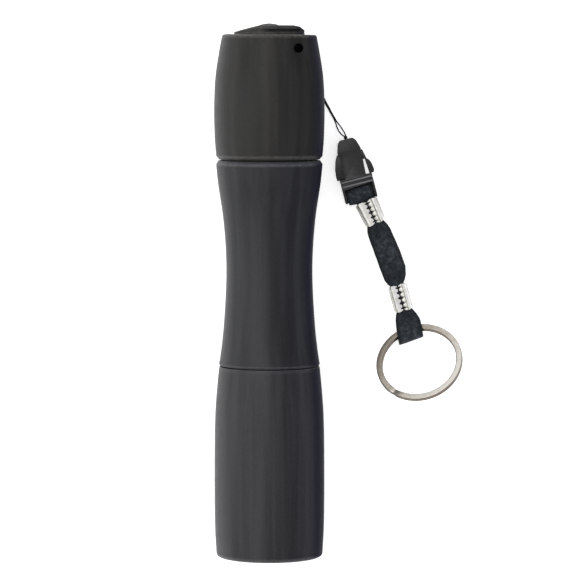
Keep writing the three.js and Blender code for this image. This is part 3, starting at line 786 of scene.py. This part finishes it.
def switch_boot(paint):
    dome = [(5.4, 151.6), (5.25, 152.5), (4.2, 153.55), (2.3, 154.45), (0, BUTTON_TOP)]
    inside = smooth_line([(0, 153.75), (2.0, 153.45), (3.6, 152.7), (4.35, 151.5)], 5)
    outline = rounded([
        (4.35, BOOT_BASE, 0.1), (7.6, BOOT_BASE, 0.2), (7.6, 141.2, 0.3), (5.4, 141.2, 0.2),
        *smooth_line(dome, 7), *inside,
    ])
    boot = revolve("boot_dome", outline, sides=96)
    finished(boot, paint, "rubber", "tail_cap", "switch_boot")
    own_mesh(boot)


def return_spring(paint):
    """The coil under the button."""
    wire, start, pitch, turns, radius = 0.275, 126.65, 1.25, 5, 4.6
    path = []
    for i in range(turns * 32 + 1):
        turn = 2 * math.pi * i / 32
        path.append((radius * math.sin(turn), start + pitch * i / 32, radius * math.cos(turn)))
    rings = []
    for centre, side, up in carried(path):
        ways = [2 * math.pi * k / 10 for k in range(10)]
        rings.append([centre + wire * (side * math.cos(a) + up * math.sin(a)) for a in ways])
    spring = solid("button_coil", *bridged(rings), TORCH, sharp=60)
    finished(spring, paint, "spring_steel", "tail_cap", "switch_return_spring")
    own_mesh(spring)


def front_parts(paints):
    bezel = rounded([(11.7, 0.5, 0.35), (12.85, 0.5, 0.2), (12.85, 2.3, 0.15), (11.7, 2.3, 0.15)])
    ring = revolve("bezel_retainer", bezel)
    mark_wear_and_highlight(ring)
    finished(ring, paints["inner_plastic"], "inner_plastic", "root", "bezel_ring")
    seals = (
        ("lens_seal", 12.3, 0.42, 2.95, "lens_o_ring"),
        ("cap_seal", 12.7, 0.5, 117.3, "cap_o_ring"),
    )
    for name, ring_r, section_r, y, node in seals:
        seal = revolve(name, circle_outline(ring_r, section_r, y))
        finished(seal, paints["rubber"], "rubber", "root", node)
    front = smooth_line([(0, 3.45), (6, 3.5), (12.3, 3.62)], 6)
    pane = rounded([*front, (12.8, 3.65, 0.15), (12.8, 5.2, 0.15), (0, 5.2)])
    lens = revolve("lens_window", pane)
    finished(lens, lens_paint(), "lens", "root", "lens")
    bowl = smooth_line([(12.1, 5.6), (10.6, 9.5), (7.6, 15.6), (3.3, 21.6)], 12)
    back = smooth_line([(4.2, 21.9), (8.6, 16.1), (11.6, 10), (12.9, 6.9)], 6)
    mirror = revolve("reflector_bowl", [*bowl, *back, (12.9, 5.6)], sides=128)
    finished(mirror, mirror_paint(), "mirror", "root", "reflector")
    # Z forwards along the torch, from the back of the emitter
    emitter = TORCH @ Matrix.Translation((0, 22.3, 0)) @ Matrix.Rotation(math.pi / 2, 4, "X")
    square = box_outline(-LED_HALF, LED_HALF, -LED_HALF, LED_HALF)
    base = soften(prism("led_base", square, 0, 0.8, emitter), 0.12)
    dome = smooth_line([(1.5, 0.75), (1.48, 1.3), (1.05, 1.95), (0, 2.3)], 6)
    upright = emitter @ Matrix.Rotation(math.pi / 2, 4, "X")
    cover = revolve("led_cover", [(0, 0.75), *dome], upright, 48)
    led = merged("led_unit", base, cover)
    finished(led, led_paint(), "led", "root", "led_emitter")


def circle_outline(ring_r, section_r, y, sides=20):
    turns = [2 * math.pi * k / sides for k in range(sides)]
    return [(ring_r + section_r * math.cos(t), y + section_r * math.sin(t)) for t in turns]


# ---- buckle --------------------------------------------------------------------------------
THICK = 4.2
MID = THICK / 2
FLOOR = 0.05
RIB_TOP = THICK + 0.35


def rib(y):
    """A raised bar across the buckle."""
    bar = prism("rib", box_outline(-4.6, 4.6, y - 0.27, y + 0.27), THICK - 0.2, RIB_TOP, BUCKLE)
    return soften(bar, 0.14, 3)


def buckle_socket(paint):
    right = [
        (1.95, 0.0, 0.7), (2.75, -0.9, 1.2), (3.45, -3.2, 2.0), (4.2, -7.6, 3.0),
        (4.85, -11.4, 1.5), (4.85, -12.5, 0.3),
    ]
    body = prism("socket", rounded(mirrored(right)), FLOOR, THICK, BUCKLE)
    soften(body, 0.55, 4, 50)
    cavity = rounded(mirrored([(1.6, -2.2, 0.3), (3.35, -3.8, 0.5), (3.95, -10), (3.95, -13.5)]))
    cut(body, prism("cavity", cavity, 1.05, THICK - 1, BUCKLE))
    for side in (-1, 1):
        window = [(3.0, -11.4, 0.4), (7, -11.4), (7, -3.7), (3.4, -3.7, 0.6), (2.95, -5.2, 0.6)]
        shape = rounded([(side * p[0], *p[1:]) for p in window])
        cut(body, prism("window", shape, -1, 6, BUCKLE))
    eye = BUCKLE @ Matrix.Translation((0, -1.2, MID))
    cut(body, revolve("eye", cylinder_outline(0.62, -4, 4), eye, 32))
    soften(body, 0.12, 2, 40)
    body = merged("buckle_female", body, rib(-12.2))
    mark_wear_and_highlight(body)
    return finished(body, paint, "buckle", "buckle", "buckle_socket")


def buckle_plug(paint):
    end = -18.6
    start = -12.51  # against the socket
    half = 4.85
    block = [(-half, end, 0.5), (half, end, 0.5), (half, start, 0.3), (-half, start, 0.3)]
    plug = prism("plug", rounded(block), FLOOR, THICK, BUCKLE)
    soften(plug, 0.4, 4, 50)
    opening = [(-4.25, end - 1), (4.25, end - 1), (4.25, -13.85), (-4.25, -14.5)]
    cut(plug, prism("opening", opening, 0.35, 6, BUCKLE))
    cut(plug, prism("underside", box_outline(-3.9, 3.9, end - 1, -15.2), -1, 0.5, BUCKLE))
    soften(plug, 0.1, 2, 40)
    tongue = prism("tongue", box_outline(-1, 1, -13.3, -7), 1.4, THICK - 1.35, BUCKLE)
    soften(tongue, 0.25, 3)
    across = BUCKLE @ Matrix.Translation((0, -BAR_ALONG, MID))
    across = across @ Matrix.Rotation(math.pi / 2, 4, "Z")
    bar = revolve("bar", cylinder_outline(0.6, -4.4, 4.4), across, 32)
    plug = merged("buckle_male", plug, rib(-13.5), tongue, bar)
    mark_wear_and_highlight(plug)
    return finished(plug, paint, "buckle", "buckle", "buckle_plug")


def buckle_prong(paint, name, side):
    slit = [(3.35, -6.9, 0.15), (3.85, -6.9, 0.1), (4.2, -11.36, 0.2)]
    solid_root = [(3.05, -11.6, 0.2), (3.5, -11.36, 0.1)]  # no slit shows on the left
    left_pad = [(5.5, -11.36, 0.3), (5.62, -10.2, 0.6), (5.35, -8.0, 1.2), (4.65, -5.6, 1.5)]
    right_pad = [
        (5.55, -11.36, 0.3), (5.85, -10.5, 0.5), (5.5, -8.4, 0.8), (5.1, -7.5, 0.6),
        (4.45, -6.9, 0.5),
    ]
    outline = [
        (2.25, -12.3), (3.05, -12.3), *(slit if side > 0 else solid_root),
        *(right_pad if side > 0 else left_pad),
        (3.85, -4.0, 0.4), (2.8, -4.0, 0.3), (2.25, -4.8, 0.3),
    ]
    outline = rounded([(side * p[0], *p[1:]) for p in outline])
    prong = prism(name, outline, 1.35, THICK - 1.3, BUCKLE)
    soften(prong, 0.2, 3, 50)
    mark_wear_and_highlight(prong)
    which = "left" if side < 0 else "right"
    return finished(prong, paint, "buckle", f"prong_{which}", f"buckle_prong_{which}")


# ---- strap ---------------------------------------------------------------------------------
WEB = 0.5  # thickness of one layer
LAY_Z = 1.55  # middle of the doubled strap above the surface
BAR_EYE = (0.0, 2.1, 1.43)  # along, height, radius of the webbing's middle
FOLD_EYE = (43.4, 2.35, 2.02)
FOLD_STRETCH = 1.42  # the fold is longer than it is high
# (along the strap, value), for the strap's middle line and for half its width
SIDE_SHIFT = [
    (-2, 0), (0, 0), (2.0, -0.05), (2.7, 0.0), (3.1, 0.8), (10.4, 1.35), (13, 1.5), (20, 1.8),
    (25, 1.8), (28.6, 1.4), (37.6, 0.65), (41, 0.6), (43.4, 0.2), (46.5, -0.3),
]
HALF_WIDTH = [
    (-2.5, 4.0), (2.6, 4.05), (2.85, 3.9), (3.05, 2.8), (3.4, 2.5), (10.0, 2.5), (10.7, 2.75),
    (11.6, 3.15), (13, 3.45), (20, 3.68), (25, 3.66), (27.2, 3.3), (28.6, 2.65), (29.3, 2.0),
    (36.9, 2.0), (37.5, 2.5), (38.2, 2.8), (39.6, 3.35), (41, 3.65), (43.4, 3.85), (46.5, 3.75),
]
# start and length along the strap, widths at the ends, shift to the right, turn in degrees
CRIMPS = ((3.0, 7.4, (6.9, 6.1), 1.15, 5), (29.4, 8.0, (5.6, 5.5), 0.98, -4))


def eye_arc(eye, start, end, steps, stretch=1.0):
    """Points round an eye in side view. Its far side may be stretched along the strap."""
    along, height, radius = eye
    arc = []
    for t in np.radians(np.linspace(start, end, steps)):
        reach = radius * math.cos(t) * (stretch if math.cos(t) > 0 else 1.0)
        arc.append((along + reach, height + radius * math.sin(t)))
    return arc


def strap_line():
    """The webbing's middle in side view: round the bar, out on top, round the fold, back below."""
    top = [
        (2.7, LAY_Z + 0.24), (6.5, LAY_Z + 0.22), (10.5, LAY_Z + 0.24), (13.2, LAY_Z + 0.55),
        (20, LAY_Z + 0.72), (26.4, LAY_Z + 0.6), (29.4, LAY_Z + 0.25), (33.5, LAY_Z + 0.22),
        (37.4, LAY_Z + 0.28),
    ]
    below = [(u, 2 * LAY_Z - z) for u, z in reversed(top)]
    fold = eye_arc(FOLD_EYE, 120, -120, 11, FOLD_STRETCH)
    corners = [*eye_arc(BAR_EYE, 300, 60, 9), *top, *fold, *below]
    line = smooth_line([*corners, corners[0]], 8)[:-1]
    return [Vector(p) for p in line]


def strap_webbing(paint):
    line = strap_line()
    rings = []
    lengths = []
    edges = []
    travelled = 0.0
    across = 26
    for i, here in enumerate(line):
        ahead = (line[(i + 1) % len(line)] - line[i - 1]).normalized()
        out = Vector((-ahead.y, ahead.x))
        travelled += (here - line[i - 1]).length if i else 0.0
        lengths.append(travelled)
        u = min(max(here.x, -2.5), 46.5)
        half = lookup(HALF_WIDTH, u)
        shift = lookup(SIDE_SHIFT, u)
        puff = blend_in(10.6, 14.0, u) * (1 - blend_in(25.5, 29.0, u))
        gather = blend_in(10.2, 11.2, u) * (1 - blend_in(12.5, 17.5, u))
        gather += blend_in(21.0, 27.2, u) * (1 - blend_in(28.0, 29.4, u))
        gather += 0.8 * blend_in(37.2, 38.2, u) * (1 - blend_in(38.8, 43.5, u))
        gather += 0.8 * blend_in(0.9, 2.0, u) * (1 - blend_in(2.4, 3.2, u))
        layer = 1.0 if out.y > 0 else -1.0
        outer = []
        inner = []
        for k in range(across + 1):
            s = 2 * k / across - 1
            x = shift + half * s + 0.12 * noise.noise((u * 0.5, layer, 0.0)) * abs(s)
            fall = 0.42 * puff * (1 - math.sqrt(max(1 - s * s, 0.0)))
            crease = noise.noise((0.18 * u, 2.4 * s, 3.0 * layer))
            fold = 0.2 * gather * math.cos(5.2 * s + 0.6 * layer + 0.35 * u + 2.5 * crease)
            lump = 0.2 * max(puff, 0.3) * noise.noise((0.4 * u, 1.5 * s, 7.0 * layer))
            rise = (lump + fold) * (1 - s ** 6) - fall
            thick = WEB / 2 * (1.0 if puff + gather > 0.3 else 0.86)
            thick *= 1 - 0.45 * s ** 16
            # painted shade, towards the edges and in the gathers
            edges.append(max(0.92 * blend_in(0.6, 0.96, abs(s)), 0.5 * min(gather, 1.0)))
            outer.append((x, -(here.x + out.x * (rise + thick)), here.y + out.y * (rise + thick)))
            inner.append((x, -(here.x + out.x * (rise - thick)), here.y + out.y * (rise - thick)))
        edges += reversed(edges[-across - 1:])
        rings.append([*outer, *reversed(inner)])
    points, faces = bridged(rings, closed=True)
    points = [(x, y, max(z, FLOOR)) for x, y, z in points]
    strap = solid("strap_ribbon", points, faces, STRAP, sharp=75)
    weave_coordinates(strap, rings, lengths)
    strap.data.attributes.new("edge", "FLOAT", "POINT").data.foreach_set("value", edges)
    finished(strap, paint, "webbing", "strap", "strap_webbing")
    return strap


def weave_coordinates(strap, rings, lengths):
    """Lays a coordinate along and across the webbing, in millimetres, on every face corner."""
    count = len(rings[0])
    total = lengths[-1] + (lengths[1] - lengths[0])
    back = STRAP.inverted()
    layer = strap.data.uv_layers.new(name="along")
    for face in strap.data.polygons:
        corners = list(zip(face.loop_indices, face.vertices))
        rows = [v // count for _, v in corners]
        wraps = max(rows) - min(rows) > 1
        for loop, v in corners:
            along = lengths[v // count]
            if wraps and v // count == 0:
                along = total
            layer.data[loop].uv = (along, (back @ strap.data.vertices[v].co).x)


# ---- crimps --------------------------------------------------------------------------------
CRIMP_WALL = 0.34
CRIMP_TEETH = 5


def crimp(name, paint, start, length, widths, shift, turn, node):
    """A sleeve folded round the strap. Its lips roll in to a seam of teeth; painted shade on the
    rolled-in lips shows as dark diamonds between them, and darkens the sleeve's sides.
    """
    steps = 16 * CRIMP_TEETH
    rings = []
    for i in range(steps + 1):
        v = i / steps
        half = (widths[0] + (widths[1] - widths[0]) * v) / 2
        tooth = 1 - abs(2 * (v * CRIMP_TEETH % 1.0) - 1)
        lip = 0.01 + 0.5 * blend_in(0.35, 0.95, tooth)
        curl = 0.6 * (blend_in(0.85, 1.0, v) + 1 - blend_in(0.0, 0.15, v))
        outer = smooth_line([
            (0.0, -1.5), (half - 1.3, -1.5), (half - 0.4, -1.2), (half, -0.5), (half, 0.3),
            (half - 0.3, 0.95), (0.72 * half, 1.42), (0.5 * half + 0.15, 1.5),
            (0.36 * half + 0.25, 1.3), (lip + 0.22, 0.95), (lip, 0.45),
        ], 5)
        inner = [offset_in(outer, k, CRIMP_WALL) for k in range(len(outer))]
        right = [*outer, *reversed(inner)]
        ring = [*right, *[(-x, z) for x, z in reversed(right)]]
        # each lobe's end is an arc: its middle reaches further along than its sides
        lobe = 0.5 * half
        arcs = [curl * (1 - min(abs(abs(x) - lobe) / lobe, 1.0) ** 2) for x, _ in ring]
        ends = 1.0 if v < 0.5 else -1.0
        y = (0.5 - v) * length
        rings.append([(x, y + ends * (arc - curl), z) for (x, z), arc in zip(ring, arcs)])
    where = STRAP @ Matrix.Translation((shift, -(start + length / 2), LAY_Z))
    where = where @ Matrix.Rotation(math.radians(turn), 4, "Z")
    sleeve = solid(name, *bridged(rings), where, sharp=50)
    back = where.inverted()
    # painted shade: the rolled-in lips at the seam and the sleeve's outer sides
    seam = []
    for point in sleeve.data.vertices:
        x, _, z = back @ point.co
        gap = (1 - blend_in(0.5, 1.0, abs(x))) * blend_in(-0.2, 0.2, z)
        gap *= 1 - blend_in(0.7, 0.95, z)
        side = min(widths) / 2
        seam.append(max(gap, 0.6 * blend_in(side - 0.35, side, abs(x))))
    attribute = sleeve.data.attributes.new("seam", "FLOAT", "POINT")
    attribute.data.foreach_set("value", seam)
    finished(sleeve, paint, "crimp", "strap", node)
    return sleeve


def offset_in(line, i, distance):
    """A point of a line in the plane, moved to its left."""
    before = Vector(line[max(i - 1, 0)])
    after = Vector(line[min(i + 1, len(line) - 1)])
    ahead = (after - before).normalized()
    return tuple(Vector(line[i]) + Vector((-ahead.y, ahead.x)) * distance)


# ---- ring ----------------------------------------------------------------------------------
RING_MIDDLE_R = 11.85
RING_WIDE = 1.8
RING_LEAF = 0.72
RING_STEP = 0.75
JOG_AT = math.radians(215)


def key_ring(paint):
    """Two turns of flat wire. Each lies flat but for the jog where the wire changes level."""
    section = rounded([
        (-RING_WIDE / 2, -RING_LEAF / 2, 0.3), (RING_WIDE / 2, -RING_LEAF / 2, 0.3),
        (RING_WIDE / 2, RING_LEAF / 2, 0.3), (-RING_WIDE / 2, RING_LEAF / 2, 0.3),
    ], 5)
    steps = 360
    jog = math.radians(16)
    turns_end = 4 * math.pi
    rings = []
    for i in range(steps + 1):
        turn = turns_end * i / steps
        level = RING_STEP * (blend_in(2 * math.pi - jog, 2 * math.pi + jog, turn) - 0.5)
        angle = JOG_AT + turn
        end = min(turn, turns_end - turn)
        tip = 0.55 + 0.45 * min(end / math.radians(4), 1.0) ** 0.5
        ring = []
        for across, height in section:
            r = RING_MIDDLE_R + across * tip
            ring.append((r * math.cos(angle), r * math.sin(angle), level + height * tip))
        rings.append(ring)
    ring = solid("split_ring", *bridged(rings), RING, sharp=50)
    # painted shade: how near each point is to the wire's rims
    back = RING.inverted()
    rim = []
    for point in ring.data.vertices:
        off = abs((back @ point.co).xy.length - RING_MIDDLE_R)
        rim.append(blend_in(0.66, 0.97, off / (RING_WIDE / 2)))
    ring.data.attributes.new("rim", "FLOAT", "POINT").data.foreach_set("value", rim)
    finished(ring, paint, "ring", "ring", "key_ring")
    return ring


# ---- floor and light -----------------------------------------------------------------------
def make_floor():
    side = 1.5
    mesh = bpy.data.meshes.new("floor")
    corners = [(x, y, 0) for x, y in box_outline(-side, side, -side, side)]
    mesh.from_pydata(corners, [], [(0, 1, 2, 3)])
    floor = bpy.data.objects.new("floor", mesh)
    bpy.context.scene.collection.objects.link(floor)
    paint = Paint("floor_paper", Roughness=0.9, Specular_IOR_Level=0.0, Emission_Strength=0.58)
    paint.shader.inputs["Base Color"].default_value = (0.93, 0.93, 0.93, 1)
    paint.shader.inputs["Emission Color"].default_value = (1, 1, 1, 1)
    mesh.materials.append(paint.material)


def area_light(name, where, size, power, colour=(1, 1, 1)):
    data = bpy.data.lights.new(name, "AREA")
    data.shape = "RECTANGLE"
    data.size, data.size_y = size
    data.energy = power
    data.color = colour
    light = bpy.data.objects.new(name, data)
    bpy.context.scene.collection.objects.link(light)
    light.location = where
    light.rotation_mode = "QUATERNION"
    light.rotation_quaternion = (-Vector(where)).to_track_quat("-Z", "Y")


def make_light():
    world = bpy.data.worlds.new("studio")
    bpy.context.scene.world = world
    world.use_nodes = True
    background = world.node_tree.nodes["Background"]
    background.inputs["Color"].default_value = (1.0, 1.0, 1.0, 1.0)
    background.inputs["Strength"].default_value = 0.8
    area_light("overhead", (-0.3, 0.4, 1.3), (0.8, 0.8), 4.0)
    area_light("left", (-1.0, 0.0, 0.7), (0.3, 1.2), 3.0)
    area_light("right", (0.9, -0.1, 0.22), (0.2, 0.8), 1.2, (0.4, 0.45, 1.0))
    bpy.context.scene.view_settings.view_transform = "Standard"


# ---- the whole -----------------------------------------------------------------------------
def main():
    make_camera()
    cord_finish = cord_paint()
    # the buckle's rib tops get a painted highlight
    gloss = plastic_paint(
        "buckle_gloss", (0.0045, 0.0045, 0.0048), 0.26, 5.0, 0.006, shine=0.35, highlight_above=THICK + 0.18,
    )
    on_cord = [
        cord_knot(cord_finish), buckle_socket(gloss), buckle_plug(gloss),
        buckle_prong(gloss, "prong_arm_left", -1), buckle_prong(gloss, "prong_arm_right", 1),
    ]
    lanyard_cord(cord_finish)

    paints = make_slot_paints()
    for slot, nodes in INNER_NODES.items():
        for node in nodes:
            materials = frame["nodes"][node].data.materials
            materials.clear()
            materials.append(paints[slot])
    head_shell(shell_paint("head_satin", (0.0205, 0.0205, 0.0225)))
    grip_tube(shell_paint("grip_satin", (0.0155, 0.016, 0.0178)))
    tail_cap(shell_paint("tail_satin", (0.0142, 0.0138, 0.0128)))
    switch_boot(plastic_paint("boot_rubber", (0.02, 0.02, 0.019), 0.6, 10.0, 0.02))
    return_spring(paints["spring_steel"])
    front_parts(paints)

    strap = strap_webbing(webbing_paint())
    plating = crimp_paint()
    crimps = [
        crimp(f"crimp_sleeve_{which}", plating, *sizes, f"crimp_{which}")
        for which, sizes in zip(("upper", "lower"), CRIMPS)
    ]
    ring = key_ring(ring_paint())

    make_floor()
    make_light()


main()
